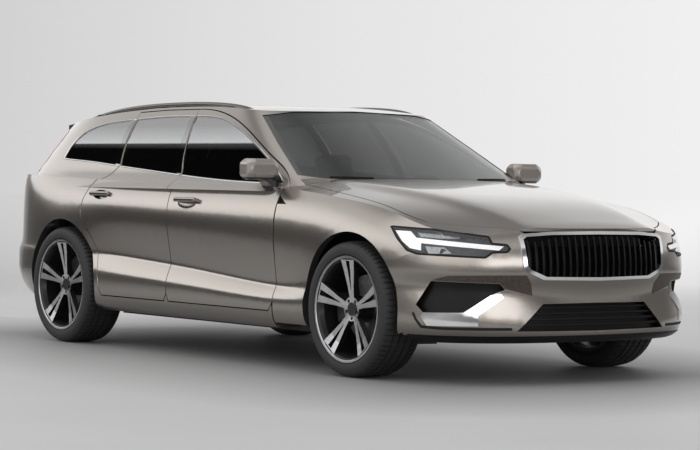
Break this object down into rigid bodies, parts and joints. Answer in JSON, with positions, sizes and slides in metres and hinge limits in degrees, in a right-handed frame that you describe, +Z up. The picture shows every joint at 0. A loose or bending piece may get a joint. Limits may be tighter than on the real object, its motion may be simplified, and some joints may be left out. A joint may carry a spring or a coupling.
{
  "type": "station wagon",
  "caption": "Five-door station wagon: long roof with rails, upright barred grille, slim lamps; doors, hood, tailgate, steering and wheels move.",
  "frame": {"origin": "on the ground, under the middle of the car's length and width", "axes": "+X forward, +Y to the car's left, +Z up; the car stands parked on its four tyres"},
  "size_m": [4.7628, 2.028, 1.4232],
  "materials": {
    "paint": "metallic gloss",
    "underbody": "satin",
    "trim_black": "gloss",
    "chrome": "polished",
    "satin_rail": "satin",
    "lamp_clear": "clear",
    "lamp_red": "clear red",
    "window": "tinted",
    "wheel_alloy": "machined",
    "tyre": "matt",
    "cast": "cast",
    "seat_leather": "soft",
    "cabin_plastic": "matt",
    "steel": "satin"
  },
  "bodies": {
    "body": {"floor_pan": "underbody", "side_frames": "paint", "roof_panel": "paint", "front_fenders": "paint", "front_bumper": "paint", "grille_surround": "chrome", "grille_bars": "trim_black", "headlamps": "lamp_clear", "tail_lamps": "lamp_red", "rear_bumper": "paint", "windscreen": "window", "quarter_glass": "window", "front_subframe": "cast", "rear_axle": "cast", "engine": "cast", "exhaust": "steel", "front_seats": "seat_leather", "rear_seat": "seat_leather", "dashboard": "cabin_plastic", "steering_wheel": "cabin_plastic", "roof_rails": "satin_rail"},
    "hood": {"hood": "paint"},
    "tailgate": {"tailgate": "paint", "tailgate_glass": "window"},
    "door_front_left": {"door_fl": "paint", "door_glass_fl": "window", "mirror_left": "paint"},
    "door_front_right": {"door_fr": "paint", "door_glass_fr": "window", "mirror_right": "paint"},
    "door_rear_left": {"door_rl": "paint", "door_glass_rl": "window"},
    "door_rear_right": {"door_rr": "paint", "door_glass_rr": "window"},
    "knuckle_left": {"knuckle_left": "cast"},
    "knuckle_right": {"knuckle_right": "cast"},
    "wheel_fl": {"rim_fl": "wheel_alloy", "tyre_fl": "tyre"},
    "wheel_fr": {"rim_fr": "wheel_alloy", "tyre_fr": "tyre"},
    "wheel_rl": {"rim_rl": "wheel_alloy", "tyre_rl": "tyre"},
    "wheel_rr": {"rim_rr": "wheel_alloy", "tyre_rr": "tyre"}
  },
  "joints": [
    {"name": "hood_hinge", "type": "hinge", "parent": "body", "child": "hood", "pos_m": [0.856, 0, 1.01], "axis": [0, -1, 0], "range_deg": [0, 60]},
    {"name": "tailgate_hinge", "type": "hinge", "parent": "body", "child": "tailgate", "pos_m": [-1.905, 0, 1.338], "axis": [0, 1, 0], "range_deg": [0, 75]},
    {"name": "door_front_left_hinge", "type": "hinge", "parent": "body", "child": "door_front_left", "pos_m": [0.841, 0.922, 0.6], "axis": [0, 0, -1], "range_deg": [0, 65]},
    {"name": "door_front_right_hinge", "type": "hinge", "parent": "body", "child": "door_front_right", "pos_m": [0.841, -0.922, 0.6], "axis": [0, 0, 1], "range_deg": [0, 65]},
    {"name": "door_rear_left_hinge", "type": "hinge", "parent": "body", "child": "door_rear_left", "pos_m": [-0.207, 0.922, 0.6], "axis": [0, 0, -1], "range_deg": [0, 65]},
    {"name": "door_rear_right_hinge", "type": "hinge", "parent": "body", "child": "door_rear_right", "pos_m": [-0.207, -0.922, 0.6], "axis": [0, 0, 1], "range_deg": [0, 65]},
    {"name": "steer_left", "type": "hinge", "parent": "body", "child": "knuckle_left", "pos_m": [1.5085, 0.7, 0.343], "axis": [0, 0, 1], "range_deg": [-33, 33]},
    {"name": "steer_right", "type": "hinge", "parent": "body", "child": "knuckle_right", "pos_m": [1.5085, -0.7, 0.343], "axis": [0, 0, 1], "range_deg": [-33, 33]},
    {"name": "wheel_fl_spin", "type": "hinge", "parent": "knuckle_left", "child": "wheel_fl", "pos_m": [1.5085, 0.801, 0.343], "axis": [0, 1, 0], "continuous": true},
    {"name": "wheel_fr_spin", "type": "hinge", "parent": "knuckle_right", "child": "wheel_fr", "pos_m": [1.5085, -0.801, 0.343], "axis": [0, 1, 0], "continuous": true},
    {"name": "wheel_rl_spin", "type": "hinge", "parent": "body", "child": "wheel_rl", "pos_m": [-1.3635, 0.801, 0.343], "axis": [0, 1, 0], "continuous": true},
    {"name": "wheel_rr_spin", "type": "hinge", "parent": "body", "child": "wheel_rr", "pos_m": [-1.3635, -0.801, 0.343], "axis": [0, 1, 0], "continuous": true}
  ],
  "couplings": [
    {"joint": "steer_right", "follows": "steer_left", "ratio": 1}
  ]
}
